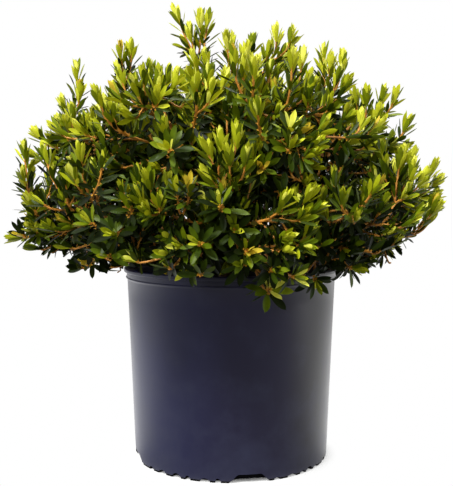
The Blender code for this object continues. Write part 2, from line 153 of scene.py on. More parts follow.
def makePotPlastic():
    look = potPlastic
    material, tree, shader, _ = newMaterial("mouldedPolyethylene")
    place = addNode(tree, "TexCoord")
    parts = addNode(tree, "SeparateXYZ", links={"Vector": (place, "Object")})
    patches = addNode(tree, "TexNoise",
                      {"Scale": perMetre(look["scuffSize"]), "Detail": 6.0, "Roughness": 0.62},
                      {"Vector": (place, "Object")})
    high, strongest = look["scuffedBelow"]
    low = addNode(tree, "MapRange",
                  {"From Min": high, "From Max": strongest, "To Max": look["scuffShare"]},
                  {"Value": (parts, "Z")})
    worn = addNode(tree, "Math", {"operation": "ADD"}, {0: (patches, "Fac"), 1: (low, "Result")})
    colour = None
    # from the middle's colour to the painted reflection of the left side, the painted shade of the right
    # side, and the scuffs'
    layers = (
        ("paintedLitSide", (parts, "X"), look["paintedLitSideFrom"]),
        ("paintedShadeSide", (parts, "X"), look["paintedShadeSideFrom"]),
        ("scuffed", (worn, "Value"), look["scuffShows"]),
    )
    for name, source, (none, full) in layers:
        share = addNode(tree, "MapRange", {"From Min": none, "From Max": full}, {"Value": source})
        colour = addNode(tree, "Mix",
                         {"data_type": "RGBA", 6: linear(look["base"]), 7: linear(look[name])},
                         {0: (share, "Result"), 6: (colour, 2)} if colour else {0: (share, "Result")})
    smoothest, roughest = look["roughness"]
    rough = addNode(tree, "MapRange", {"To Min": smoothest, "To Max": roughest},
                    {"Value": (patches, "Fac")})
    grain = addNode(tree, "TexNoise", {"Scale": perMetre(look["grainSize"]), "Detail": 2.0},
                    {"Vector": (place, "Object")})
    bump = addNode(tree, "Bump", {"Strength": 0.05, "Distance": look["grainDepth"]},
                   {"Height": (grain, "Fac")})
    wire(tree, shader, {"IOR": look["ior"]},
         {"Base Color": (colour, 2), "Roughness": (rough, "Result"), "Normal": (bump, "Normal")})
    return material


# The ring the pot stands on and the cuts in its foot: the same plastic, nearly black as painted shade, for
# the shadow under the pot and inside its notches and bites
def makeFootShadePlastic():
    look = footShadePlastic
    material, tree, shader, _ = newMaterial("paintedShadePolyethylene")
    wire(tree, shader, {"Base Color": linear(look["base"]), "Roughness": look["roughness"],
                        "Specular IOR Level": look["shine"]})
    return material


# Bark and potting mix: young shoots are smooth and tan to orange, older wood is dull brown with fine flakes,
# and the mix is composted bark and peat, dark and matt, with paler chips. Each is two colours in patches, at
# their places on the noise, then mm across a patch, detail, roughness, and its relief's strength and depth
coarseLooks = {
    "tanYoungBark": ((0.35, "A0661E"), (0.65, "C48A35"), 6, 4.0, 0.55, 0.15, 0.001),
    "russetBark": ((0.35, "4E3618"), (0.65, "704E22"), 6, 4.0, 0.65, 0.25, 0.001),
    "brownOldBark": ((0.35, "3E2A1E"), (0.65, "6B4C36"), 5, 4.0, 0.85, 0.6, 0.001),
    "compostedBarkMix": ((0.3, "17100B"), (0.7, "3A281B"), 6, 5.0, 0.92, 0.8, 0.002),
    "pineBarkChip": ((0.3, "3B2819"), (0.7, "6E4E34"), 4, 5.0, 0.92, 0.8, 0.002),
}


def makeCoarse(name):
    dark, pale, size, detail, roughness, relief, depth = coarseLooks[name]
    material, tree, shader, _ = newMaterial(name)
    place = addNode(tree, "TexCoord")
    patches = addNode(tree, "TexNoise", {"Scale": perMetre(size), "Detail": detail},
                      {"Vector": (place, "Object")})
    colour = addNode(tree, "ValToRGB", links={"Fac": (patches, "Fac")}, stops=(dark, pale))
    bump = addNode(tree, "Bump", {"Strength": relief, "Distance": depth},
                   {"Height": (patches, "Fac")})
    wire(tree, shader, {"Roughness": roughness},
         {"Base Color": (colour, "Color"), "Normal": (bump, "Normal")})
    return material


# Azalea leaves: a thin leathery blade with a waxy skin. Light that comes through a young one is golden.
# Each age is a plain colour with a slight mottle: (name, colour, mottle, colour and share of the light let
# through, roughness, shine). The old ones are duller and darker, partly by age and partly as painted shade,
# the oldest, near black, being painted shade for the depths of the crown, and a few new sprays are gilded
leafAges = (
    ("leafNewest", "E2E366", "D0D246", "DAD63C", 0.22, 0.40, 0.50),
    ("leafNew", "C3C734", "ADB222", "C2BE26", 0.21, 0.40, 0.45),
    ("leafYoung", "9CA418", "8A9210", "A6A214", 0.19, 0.40, 0.40),
    ("leafGrown", "6E7C0C", "5E6C08", "80840C", 0.16, 0.40, 0.34),
    ("leafSummer", "4A5B06", "3C4B04", "586006", 0.12, 0.42, 0.28),
    ("leafOld", "2B3B04", "232F02", "384404", 0.09, 0.45, 0.22),
    # nearly black: painted shade for the depths of the crown
    ("leafOldestShaded", "152002", "101701", "1A2202", 0.04, 0.50, 0.15),
    ("leafStalk", "CC9A30", "B07C22", "D8A030", 0.16, 0.50, 0.40),
    ("leafGilded", "C2AC30", "A08C20", "C4A828", 0.18, 0.42, 0.45),
)
oldest, stalk, gilded = 6, 7, 8  # their rows
leafMottle = {"size": 9, "places": (0.35, 0.65), "ior": 1.36}  # mm across a patch, its places on the noise


def makeLeafSkin(name, base, mottled, lit, through, roughness, shine):
    material, tree, shader, output = newMaterial(name)
    place = addNode(tree, "TexCoord")
    mottle = addNode(tree, "TexNoise", {"Scale": perMetre(leafMottle["size"]), "Detail": 3.0},
                     {"Vector": (place, "Object")})
    colour = addNode(tree, "ValToRGB", links={"Fac": (mottle, "Fac")},
                     stops=zip(leafMottle["places"], (base, mottled)))
    wire(tree, shader, {"Roughness": roughness, "IOR": leafMottle["ior"], "Specular IOR Level": shine},
         {"Base Color": (colour, "Color")})
    glow = addNode(tree, "BsdfTranslucent", {"Color": linear(lit)})
    both = addNode(tree, "MixShader", {"Fac": through}, {1: (shader, "BSDF"), 2: (glow, "BSDF")})
    wire(tree, output, links={"Surface": (both, "Shader")})
    return material


potSkin = makePotPlastic()
footShadeSkin = makeFootShadePlastic()
barkSkins = [makeCoarse(name) for name in ("tanYoungBark", "russetBark", "brownOldBark")]
tanBark, russetBark, brownBark = range(3)
leafSkins = [makeLeafSkin(*age) for age in leafAges]
mixSkin = makeCoarse("compostedBarkMix")
chipSkin = makeCoarse("pineBarkChip")
report("materials")

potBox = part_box("pot")
pot = {
    "height": potBox[1][2],
    "rim": (potBox[1][0] - potBox[0][0]) / 2,
    "lip": 0.0058,  # height of the rolled lip
    "lipWidth": 0.0045,
    "lipFillet": 0.45,  # the roll's foot meets the band in an arc, in shares of the roll's radius
    "band": (0.1366, 0.1360),  # radius of the recess between the ridge and the lip, at its foot and its top
    "bandRise": 0.6,  # and how far above the ridge its foot is, in shares of half the ridge's height
    "ridge": 0.1376,
    "ridgeTop": 0.2364,
    "ridgeHeight": 0.0030,
    "ridgeRound": 0.8,
    "shoulder": 0.1355,
    "foot": 0.1262,
    "footBevel": 0.0009,
    "shadeEdge": 0.4,  # the painted shade ends this far in from the foot, as a share of its bevel
    "undercut": (0.0012, 0.0022),  # the wall stops short of the floor, on a ring that stands back
    "wall": 0.0026,
    "wallRows": 10,
    "floor": 0.0125,  # the floor's thickness, so that the notches and bites of the foot have a back
    "steps": 144,
    "creaseAngle": 35,
    "clear": 0.0015,  # how far twigs and leaves stay from it
    "notches": (-80, 10, 100, 196),  # where, in degrees anticlockwise from +x
    "notchWidth": 0.050,
    "notchSlant": 0.0105,  # how much narrower each side of a notch is at its top
    "notchHeight": 0.0105,
    "notchDepth": 0.0165,
    "notchPast": 0.01,  # how far a cutter stands out of the wall
    "notchBevel": 0.0015,
    "scallops": 42,
    "scallopWidth": (0.0055, 0.0140),
    "scallopHeight": (0.0036, 0.0062),
    "scallopDepth": 0.0090,
    "scallopShift": 0.045,  # how unevenly they are spaced, in radians
    "scallopApart": 0.06,  # and how far from a notch
}


def arc(centre, radius, start, end, steps):
    # points of an arc in the section's plane, angles in degrees
    turns = [math.radians(start + (end - start) * i / steps) for i in range(steps + 1)]
    return [(centre[0] + radius * math.cos(t), centre[1] + radius * math.sin(t)) for t in turns]


def potSection():
    # half of the pot's section, as (radius, height), from under the floor round the lip to the floor inside
    top, lipFoot = pot["height"], pot["height"] - pot["lip"]
    roll, bevel, wall = pot["lipWidth"] / 2, pot["footBevel"], pot["wall"]
    bead = pot["ridgeHeight"] / 2
    beadZ, beadRound = pot["ridgeTop"] - bead, bead * pot["ridgeRound"]
    fillet = roll * pot["lipFillet"]
    inset, base = pot["undercut"]
    wallFoot = base + bevel
    wallRise = beadZ - 2 * bead - wallFoot
    points = [(0, 0), (pot["foot"] - inset, 0), (pot["foot"] - inset, base)]
    points += arc((pot["foot"] - bevel, wallFoot), bevel, -90, 0, 5)
    for i in range(1, pot["wallRows"] + 1):
        flare = (pot["shoulder"] - pot["foot"]) * i / pot["wallRows"]
        points.append((pot["foot"] + flare, wallFoot + wallRise * i / pot["wallRows"]))
    points += arc((pot["ridge"] - beadRound, beadZ), beadRound, -80, 80, 5)
    points += [(pot["band"][0], pot["ridgeTop"] + bead * pot["bandRise"]), (pot["band"][1], lipFoot)]
    points += arc((pot["rim"] - fillet, lipFoot + roll * 0.5), fillet, -80, 0, 3)
    points += arc((pot["rim"] - roll, top - roll), roll, 0, 180, 9)
    points += [
        (pot["rim"] - 2 * roll, lipFoot),
        (pot["band"][1] - wall, lipFoot - bead),
        (pot["shoulder"] - wall, pot["ridgeTop"] - 2 * bead),
        (pot["foot"] - wall, pot["floor"] + wall),
        (pot["foot"] - 2 * wall, pot["floor"]),
        (0, pot["floor"]),
    ]
    return points


def spun(section, steps):
    # full turn of a section about the z axis
    bm = bmesh.new()
    points = [bm.verts.new((radius, 0, height)) for radius, height in section]
    edges = [bm.edges.new(pair) for pair in zip(points, points[1:])]
    bmesh.ops.spin(bm, geom=points + edges, cent=(0, 0, 0), axis=(0, 0, 1), angle=2 * math.pi, steps=steps,
                   use_merge=True)
    bmesh.ops.remove_doubles(bm, verts=bm.verts, dist=1e-6)
    bmesh.ops.recalc_face_normals(bm, faces=bm.faces)
    return bm


def meshFrom(bm, name):
    mesh = bpy.data.meshes.new(name)
    bm.to_mesh(mesh)
    bm.free()
    return mesh


def turned(bm, angle, axis):
    bmesh.ops.rotate(bm, cent=(0, 0, 0), matrix=Matrix.Rotation(angle, 3, axis), verts=bm.verts)
    return bm


def notchCutter(turn):
    # a wedge with slanting sides across the foot of the wall
    bm = bmesh.new()
    bmesh.ops.create_cube(bm, size=1)
    for v in bm.verts:
        upper = v.co.z > 0
        width = pot["notchWidth"] + pot["notchSlant"] * (-2 if upper else 2)
        outer = pot["foot"] + (pot["notchPast"] if v.co.x > 0 else -pot["notchDepth"])
        v.co = Vector((outer, v.co.y * width, pot["notchHeight"] if upper else -pot["notchHeight"]))
    bmesh.ops.bevel(bm, geom=bm.edges[:], offset=pot["notchBevel"], segments=2, profile=0.5, affect="EDGES",
                    material=-1)
    return turned(bm, turn, "Z")


def scallopCutter(turn, width, height):
    # a small round-topped bite out of the foot's edge
    bm = bmesh.new()
    bmesh.ops.create_cone(bm, cap_ends=True, segments=12, radius1=width / 2, radius2=width / 2,
                          depth=pot["scallopDepth"] * 2)
    turned(bm, math.radians(90), "Y")
    bmesh.ops.scale(bm, vec=(1, 1, height * 2 / width), verts=bm.verts)
    bmesh.ops.translate(bm, vec=(pot["foot"], 0, 0), verts=bm.verts)
    return turned(bm, turn, "Z")


def footCutters():
    notches = [math.radians(notch) for notch in pot["notches"]]
    shapes = [notchCutter(notch) for notch in notches]
    chance = random.Random(3)
    for i in range(pot["scallops"]):
        turn = 2 * math.pi * (i + 0.5) / pot["scallops"]
        apart = min(abs(math.remainder(turn - notch, 2 * math.pi)) for notch in notches)
        if apart - pot["notchWidth"] / 2 / pot["foot"] > pot["scallopApart"]:
            shifted = turn + chance.uniform(-pot["scallopShift"], pot["scallopShift"])
            width = chance.uniform(*pot["scallopWidth"])
            shapes.append(scallopCutter(shifted, width, chance.uniform(*pot["scallopHeight"])))
    return shapes


def finishedMesh(thing, name):
    # the mesh that a piece's modifiers or a curve's bevel make
    graph = bpy.context.evaluated_depsgraph_get()
    mesh = bpy.data.meshes.new_from_object(thing.evaluated_get(graph))
    mesh.name = name
    return mesh


def makePot():
    mesh = meshFrom(spun(potSection(), pot["steps"]), "potShell")
    piece = addPiece("potShell", mesh, [potSkin, footShadeSkin], ["pot"])
    # the undercut ring under the foot takes the nearly black plastic: painted shade
    ring = pot["foot"] - pot["footBevel"] * pot["shadeEdge"]
    for face in mesh.polygons:
        if face.center.z < pot["undercut"][1] and math.hypot(*face.center.xy) < ring:
            face.material_index = 1
    cutters = bpy.data.collections.new("cutters")
    for i, bm in enumerate(footCutters()):
        shape = meshFrom(bm, f"cutter{i}")
        # the cuts' new faces take the same nearly black plastic: painted shade
        shape.materials.append(footShadeSkin)
        cutters.objects.link(bpy.data.objects.new(f"cutter{i}", shape))
    cut = piece.modifiers.new("drain", "BOOLEAN")
    cut.operation = "DIFFERENCE"
    cut.operand_type = "COLLECTION"
    cut.collection = cutters
    cut.solver = "EXACT"
    cut.material_mode = "TRANSFER"
    mesh = finishedMesh(piece, "potShell")
    piece.modifiers.clear()
    piece.data = mesh
    for thing in list(cutters.objects):
        bpy.data.objects.remove(thing, do_unlink=True)
    bpy.data.collections.remove(cutters)
    mesh.shade_smooth()
    mesh.set_sharp_from_angle(angle=math.radians(pot["creaseAngle"]))


makePot()
report("pot")

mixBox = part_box("potting_mix")
mix = {
    "level": mixBox[1][2],
    "edgeDrop": 0.004,
    "radius": (mixBox[1][0] - mixBox[0][0]) / 2,
    "clear": (0.0032, 0.0006),  # how far the mix stays from the wall at its foot and at its top
    "rings": 26,
    "steps": 96,
    "bed": 0.030,
    "lump": 0.0016,
    "lumpSwing": 0.6,  # how far they rise and fall about that depth, as a share of it
    "lumps": (140, 330),  # waves of the large and the small lumps, a metre
    "smallLumps": 0.6,  # how high the small ones are beside the large ones
    "chips": 420,
    "chipsFrom": 0.03,  # none lie nearer the trunk, as a share of the surface
    "chip": (0.004, 0.011),
    "chipShape": (0.4, 0.8),  # width as a share of the length
    "chipWear": (-0.25, 0.1),  # how unevenly its corners are worn
    "chipThickness": 0.0022,
    "chipTurn": 6.28,  # radians, as is its tilt
    "chipTilt": 0.5,
    "chipRise": 0.0004,
    "chipEdge": 0.007,  # how far the chips stay from the wall
}


def mixHeight(x, y):
    # the surface of the mix: it rises a little towards the trunk and is lumpy
    away = math.hypot(x, y)
    share = max(0.0, (away - mix["bed"]) / (mix["radius"] - mix["bed"]))
    large, small = mix["lumps"]
    lumps = noise.noise(Vector((x, y, 0)) * large)
    lumps += mix["smallLumps"] * noise.noise(Vector((x, y, 0.5)) * small)
    return mix["level"] - mix["edgeDrop"] * share - mix["lump"] * (1 - mix["lumpSwing"] * lumps)


def makeMixSurface():
    low, high = mix["clear"]
    radius, edge = mix["radius"] - high, mix["level"] - mix["edgeDrop"]
    floor = pot["floor"] + pot["wall"]
    section = [(0, floor), (pot["foot"] - low, floor), (radius, edge)]
    section += [(radius * (1 - i / mix["rings"]), mix["level"]) for i in range(1, mix["rings"] + 1)]
    bm = spun(section, mix["steps"])
    for v in bm.verts:
        if v.co.z > edge / 2:  # those of its top
            v.co.z = mixHeight(v.co.x, v.co.y)
    piece = addPiece("mixSurface", meshFrom(bm, "mixSurface"), [mixSkin], ["potting_mix"])
    piece.data.shade_smooth()


def makeChips():
    chance = random.Random(11)
    bm = bmesh.new()
    for _ in range(mix["chips"]):
        away = (mix["radius"] - mix["chipEdge"]) * math.sqrt(chance.uniform(mix["chipsFrom"], 1))
        turn = chance.uniform(0, 2 * math.pi)
        x, y = away * math.cos(turn), away * math.sin(turn)
        length = chance.uniform(*mix["chip"])
        chip = bmesh.ops.create_cube(bm, size=1)["verts"]
        for v in chip:
            v.co *= 1 + chance.uniform(*mix["chipWear"])
        width = length * chance.uniform(*mix["chipShape"])
        bmesh.ops.scale(bm, vec=(length, width, mix["chipThickness"]), verts=chip)
        spin = Matrix.Rotation(chance.uniform(0, mix["chipTurn"]), 3, "Z")
        spin @= Matrix.Rotation(chance.uniform(-mix["chipTilt"], mix["chipTilt"]), 3, "X")
        bmesh.ops.rotate(bm, cent=(0, 0, 0), matrix=spin, verts=chip)
        bmesh.ops.translate(bm, vec=(x, y, mixHeight(x, y) + mix["chipRise"]), verts=chip)
    addPiece("barkChips", meshFrom(bm, "barkChips"), [chipSkin])


makeMixSurface()
makeChips()
report("potting mix")

# Crown: the same masses, limbs and shoots as the solids, by the same rule
eightSides = ("right", "back_right", "back", "back_left", "left", "front_left", "front", "front_right")
sixSides = ("right", "back_right", "back_left", "left", "front_left", "front_right")
crown = {
    "centre": Vector((-0.007, 0, 0.268)),
    # ring: elevation in degrees, reach, sides anticlockwise from +x
    "rings": {"lower": (12, 0.284, eightSides), "upper": (50, 0.294, sixSides), "top": (90, 0.282, ("",))},
    "reachOf": {"upper_left": 0.300, "lower_left": 0.290, "lower_front": 0.272},
    "lobeSharpness": 9.0,
    "lobeDip": 0.45,
    "lowestRise": 0.08,
    "boughShare": 0.42,
    "coarseShoots": 104,
    "shootMargin": 0.016,
    "turnIn": (8, 0.06),  # steps in which a shoot between two masses turns into its own, and their size
    "sweep": (0.7548776662466927, 0.5698402909980532),  # steps that spread shoots evenly over the dome
    # the first seed of each kind of shoot; those of the named ones count down
    "seeds": {"long": 4999, "front": 4899, "dome": 5000},
    # shoots that stand out of the dome: azimuth, elevation, reach, degrees they lean to the right, and leaves
    # where they aren't a tuft
    "longShoots": (
        (180, 77.8, 0.326, -20), (180, 86.4, 0.314, 12), (180, 81.1, 0.301, -4), (69, 85.7, 0.288, 0),
        (30, 82.0, 0.290, 0), (0, 78.7, 0.278, 0), (0, 77.9, 0.302, -8), (-8, 73.8, 0.302, 0),
        (4, 64.7, 0.301, -4), (-5, 60.0, 0.302, 0), (3, 46.6, 0.300, -4), (-4, 44.0, 0.306, 6),
        (-12, 37.0, 0.288, 0), (-6, 33.3, 0.270, 2), (4, 29.0, 0.286, 0), (-3, 24.4, 0.296, 0),
        (2, 16.8, 0.294, 4), (-9, 5.0, 0.222, 10, "open"), (182, 5.6, 0.284, -14), (184, 14.9, 0.270, 0),
        (177, 19.7, 0.280, -6, "open"), (183, 28.9, 0.300, 0), (178, 34.0, 0.296, 0), (188, 39.1, 0.276, 0),
        (176, 43.5, 0.300, -6), (180, 51.9, 0.316, 0), (186, 49.5, 0.290, 6), (176, 60.2, 0.288, -10),
        (180, 65.6, 0.302, -3), (184, 63.6, 0.302, 6), (-73.6, -7.2, 0.193, 0, "star"),
        (197, 17.0, 0.268, 0),
    ),
    # shoots that stand on the front of the dome: azimuth, elevation, share of the reach, lean, leaves
    "frontShoots": (
        (-117, 48.5, 1.00, 8), (-112, 46.6, 1.00, 0), (-107, 47.3, 1.00, 0), (-126, 43.6, 1.00, -16),
        (-134, 43.5, 1.00, -6), (-100, 46.4, 1.00, -8), (-94, 44.4, 1.00, 10),
        (-105, 31.5, 0.97, 0, "rosette"), (-96, 29.4, 1.00, -20), (-92, 31.2, 1.00, -10),
        (-132, 29.3, 0.97, 4), (-123, 27.8, 0.97, 8, "open"), (-108, 22.1, 1.00, 6),
        (-115, 20.2, 1.00, 0, "open"), (-111, 18.5, 1.00, -10), (-104, 17.3, 1.00, 16),
        (-99, 21.9, 0.95, 0, "rosette"), (-92, 17.7, 0.97, -12, "rosette"), (-124, 12.9, 0.97, 0, "open"),
        (-96, 8.6, 0.97, 0, "rosette"), (-103, 5.9, 0.97, 0, "rosette"), (-118, 10.0, 0.97, -10, "rosette"),
        (-86, 58.1, 1.00, 0), (-80, 52.2, 1.00, 0), (-62, 56.2, 1.00, 0), (-45, 50.4, 1.00, 6),
        (-81, 38.9, 1.00, 0), (-87, 35.1, 0.97, 0), (-85, 28.5, 0.97, 0), (-71, 37.3, 0.95, 0, "rosette"),
        (-63, 34.6, 1.00, 14), (-68, 30.9, 1.00, 0), (-72, 32.4, 0.95, 0, "rosette"), (-77, 17.5, 1.00, 0),
        (-69, 19.4, 0.97, 8), (-73, 14.1, 1.00, 0), (-51, 19.5, 1.00, 20), (-85, 6.9, 0.97, 0, "rosette"),
        (-77, 6.8, 0.97, 0, "rosette"), (-44, 35.2, 1.00, 8), (-49, 36.8, 1.00, 0), (-147, 35.7, 1.00, 4),
        (-149, 28.3, 1.00, -8), (-144, 16.7, 0.97, -8, "open"), (-96, 1.0, 0.97, 0, "rosette"),
        (-103.5, 2.5, 0.97, 0, "rosette"), (-112, 4.0, 0.97, 0, "rosette"), (-119, 5.0, 0.97, 0, "rosette"),
        (-86, 3.6, 0.97, 0, "rosette"), (-79, 2.4, 0.97, 0, "rosette"), (-73.5, 0.5, 0.97, 0, "rosette"),
        (-52, -3.5, 0.66, 0, "rosette"), (-41, 0.5, 0.74, 0, "rosette"),
    ),
    "apart": 8.0,  # a coarse shoot keeps this many degrees from a named one
    "spread": (0.96, 1.0),  # and ends at a share of the reach between these
    # a dip beside the highest shoots: azimuth, elevation, half width in degrees, share of the reach
    "hollow": (180, 80, 17, 0.13),
    "unforked": 5.5,  # a front shoot below this elevation bears no side shoots
}
trunk = {
    "level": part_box("trunk")[0][2],
    "height": 0.040,
    "foot": 0.0235,
    "neck": 0.0165,
    "head": 0.0150,
    "lean": 0.003,
    "rings": 28,
    "flare": 5,  # how fast the foot narrows
    "rounding": (0.30, 6),  # how far its head rounds off, and how late
    # relief of the bark, drawn out along the trunk: waves a metre and height of its ridges and of its flakes
    "ridges": (420, 0.00045),
    "flakes": (1100, 0.0002),
    "drawnOut": 0.35,
    "inset": 0.0003,
    "smoothFoot": 0.0005,
}
bough = {
    "foot": 0.0043,
    "tip": 0.0030,
    "rings": 24,
    "heights": {"lower": 0.013, "upper": 0.024, "top": 0.030},
    "seat": 0.45,  # where on the trunk's neck it leaves, as a share of its radius
    "outward": 0.75,  # how far it heads out as it leaves
    "handles": (0.30, 0.40),
    "gap": 0.0003,  # between its tip and the stem of its mass
}
wood = {
    "stemShare": 0.70,
    "stemTip": 0.0021,
    "foot": 0.0020,
    "tip": 0.0012,
    "rings": 8,
    "shortest": 0.022,
    "forks": (0.35, 0.5, 0.65, 0.8),  # where a limb can fork
    "turnCost": 0.07,
    "riseCost": 0.28,
    "sideCost": 0.80,  # a low shoot comes out from within, not along the side of the crown
    "leastSideCost": 0.4,
    "handle": 0.3,
    "straight": 0.070,  # the last stretch of an upright shoot, which heads the way its tip does
    "climb": (0.006, 0.8),  # and which is short where the tip is hardly higher than its fork
    "lean": (1.20, 0.16),  # how far a shoot's tip leans out from the vertical, low down and high up
    "leanRise": 0.42,
    "starLean": 2.4,
    "starHook": 0.012,  # the last stretch of the shoot that hangs over the rim
    "wander": 0.04,
    "stray": 0.12,
    "overhang": 0.0195,  # a shoot ends this far short of its reach, and its leaves go on
    "seat": 0.9,  # a twig's foot is at most this share of its limb's radius
    "tanLength": 0.050,  # the youngest stretch of a twig, below its tip
    "tanRise": (0.09, 0.25, 0.4),  # lower shoots show none of it, and its length grows with height
    "russetRise": 0.35,  # shoots below this are brown further down, and russet above it
    "deepest": 0.1,  # nothing forks from a front shoot that is lower than this
}


def between(ends, share):
    return ends[0] + (ends[1] - ends[0]) * share


def clamped(share, least=0):
    return min(max(share, least), 1)


def outFrom(heading, turn):
    # the way out from a shoot that heads this way, at this turn round it
    across = heading.orthogonal().normalized()
    return across * math.cos(turn) + heading.cross(across) * math.sin(turn)


def directionOf(azimuth, elevation):
    turn, rise = math.radians(azimuth), math.radians(elevation)
    return Vector((math.cos(turn) * math.cos(rise), math.sin(turn) * math.cos(rise), math.sin(rise)))


def listMasses():
    masses = []
    for ring, (elevation, reach, sides) in crown["rings"].items():
        for i, side in enumerate(sides):
            name = f"{ring}_{side}" if side else ring
            axis = directionOf(360 * i / len(sides), elevation)
            own = crown["reachOf"].get(name, reach)
            masses.append({"name": name, "ring": ring, "axis": axis, "reach": own,
                           "boughTip": crown["centre"] + axis * (crown["boughShare"] * own)})
    return masses


masses = listMasses()


def nearestMass(direction):
    return max(masses, key=lambda mass: mass["axis"].dot(direction))


def crownReach(direction):
    # the masses' reaches, blended, with a dip where two masses meet
    nearness = [mass["axis"].dot(direction) - 1 for mass in masses]
    weights = [math.exp(crown["lobeSharpness"] * near) for near in nearness]
    blended = sum(weight * mass["reach"] for weight, mass in zip(weights, masses)) / sum(weights)
    return blended * (1 + crown["lobeDip"] * max(nearness))


def hollowed(direction, reach):
    azimuth, elevation, width, share = crown["hollow"]
    apart = math.degrees(direction.angle(directionOf(azimuth, elevation))) / width
    return reach * (1 - share * math.exp(-apart * apart))


def inCone(point, mass, margin):
    offset = point - crown["centre"]
    for other in masses:
        if other is mass:
            continue
        across = mass["axis"] - other["axis"]
        if offset.dot(across) < margin * across.length:
            return False
    return True


def turnedInwards(direction):
    mass = nearestMass(direction)
    steps, share = crown["turnIn"]
    for _ in range(steps):
        if inCone(crown["centre"] + direction * mass["reach"], mass, crown["shootMargin"]):
            break
        direction = direction.lerp(mass["axis"], share).normalized()
    return direction


def sweepDirection(number, lowest):
    turn = 2 * math.pi * ((0.5 + number * crown["sweep"][0]) % 1)
    rise = between((lowest, 1), (0.5 + number * crown["sweep"][1]) % 1)
    level = math.sqrt(1 - rise * rise)
    return Vector((level * math.cos(turn), level * math.sin(turn), rise))


def bezier(start, first, second, end, rings):
    points = []
    for i in range(rings):
        t = i / (rings - 1)
        s = 1 - t
        points.append(start * s**3 + first * (3 * s * s * t) + second * (3 * s * t * t) + end * t**3)
    return points


def limbOf(points, foot, tip):
    last = len(points) - 1
    return {"points": points, "radii": [foot + (tip - foot) * i / last for i in range(last + 1)],
            "length": sum((b - a).length for a, b in zip(points, points[1:]))}


def placeOn(limb, share):
    # the point, heading and radius at this share of the way along
    place = clamped(share) * (len(limb["points"]) - 1)
    i = min(int(place), len(limb["points"]) - 2)
    a, b = limb["points"][i], limb["points"][i + 1]
    return a.lerp(b, place - i), (b - a).normalized(), between(limb["radii"][i:i + 2], place - i)


def splitLimb(limb, length):
    # the limb up to this length below its tip, and the rest
    points, radii = limb["points"], limb["radii"]
    left, cut = length, len(points) - 1
    while cut > 0 and left > 0:
        left -= (points[cut] - points[cut - 1]).length
        cut -= 1
    older = {"points": points[:cut + 1], "radii": radii[:cut + 1]}
    younger = {"points": points[cut:], "radii": radii[cut:]}
    return [part if len(part["points"]) > 1 else None for part in (older, younger)]


def boughPath(mass):
    heart = Vector((0, 0, trunk["level"] + bough["heights"][mass["ring"]]))
    outward = Vector((mass["axis"].x, mass["axis"].y, 0))
    start = heart + outward * (trunk["neck"] * bough["seat"])
    span = (mass["boughTip"] - start).length
    low, high = bough["handles"]
    first = start + (outward * bough["outward"] + up).normalized() * (span * low)
    second = mass["boughTip"] - mass["axis"] * (span * high)
    return limbOf(bezier(start, first, second, mass["boughTip"], bough["rings"]), bough["foot"], bough["tip"])


# shoots in the order they grow, after the long and the coarse ones: name, how many, how deep, how low, which
# leaves they bear, how many side shoots each one forks into near its tip, and how much older their leaves are
layers = (
    ("between", 220, (0.78, 0.94), -0.04, "tuft", (0, 1), 0.8),
    ("middle", 210, (0.64, 0.84), -0.06, "shade", (0, 1), 0.0),
    ("inner", 170, (0.46, 0.66), -0.04, "deep", (0, 0), 0.0),
)
fork = {
    "none": (0, 0),
    "named": (0, 2),  # side shoots beside a long or front shoot
    "coarse": (1, 3),  # and beside a coarse one
    "below": (0.042, 0.058),  # a side shoot leaves this far below the tip, at last year's whorl
    "beside": (0.012, 0.026),  # and ends this far beside it
    "drop": (0.000, 0.034),  # and this far below it
    "lowest": 0.8,  # but no lower on its twig than this share
    "rings": 6,
    "handles": (0.35, 0.4),
    "outward": (1.3, 0.3),  # how far it still heads its twig's way as it leaves, and outwards at its tip
    "thickness": (1.15, 0.85),
    "stray": 0.4,  # how unevenly side shoots stand round their twig, in radians
}


def listShoots():
    shoots = []

    def add(kind, number, direction, reach, sides, bearing="tuft", age=0.0, lean=0):
        seed = crown["seeds"][kind] + (number if kind == "dome" else -number)
        shoots.append({"kind": kind, "seed": seed, "direction": direction, "reach": reach, "bearing": bearing,
                       "sides": sides, "age": age, "lean": lean})

    for number, (azimuth, elevation, reach, lean, *leaves) in enumerate(crown["longShoots"]):
        sides = fork["none" if "star" in leaves else "named"]
        add("long", number, directionOf(azimuth, elevation), reach, sides, *leaves, lean=lean)
    for number, (azimuth, elevation, share, lean, *leaves) in enumerate(crown["frontShoots"]):
        direction = directionOf(azimuth, elevation)
        sides = fork["none" if elevation < crown["unforked"] else "named"]
        add("front", number, direction, crownReach(direction) * share, sides, *leaves, lean=lean)
    named = [shoot["direction"] for shoot in shoots]
    chance = random.Random("coarse")
    for number in range(crown["coarseShoots"]):
        direction = turnedInwards(sweepDirection(number, crown["lowestRise"]))
        reach = hollowed(direction, crownReach(direction)) * chance.uniform(*crown["spread"])
        if min(direction.angle(other) for other in named) > math.radians(crown["apart"]):
            add("dome", number, direction, reach, fork["coarse"])
    number = crown["coarseShoots"]
    for name, count, depth, lowest, bearing, sides, age in layers:
        chance = random.Random(name)
        for _ in range(count):
            direction = sweepDirection(number, lowest)
            reach = hollowed(direction, crownReach(direction)) * chance.uniform(*depth)
            add("dome", number, direction, reach, sides, bearing, age)
            number += 1
    return shoots


def shootTip(shoot):
    direction = shoot["direction"]
    outward = between(wood["lean"], clamped(direction.z / wood["leanRise"]))
    if shoot["bearing"] == "star":
        outward = wood["starLean"]
    heading = Vector((direction.x * outward, direction.y * outward, 1)).normalized()
    heading = Matrix.Rotation(math.radians(shoot["lean"]), 3, "Y") @ heading
    return crown["centre"] + direction * shoot["reach"] - heading * wood["overhang"], heading


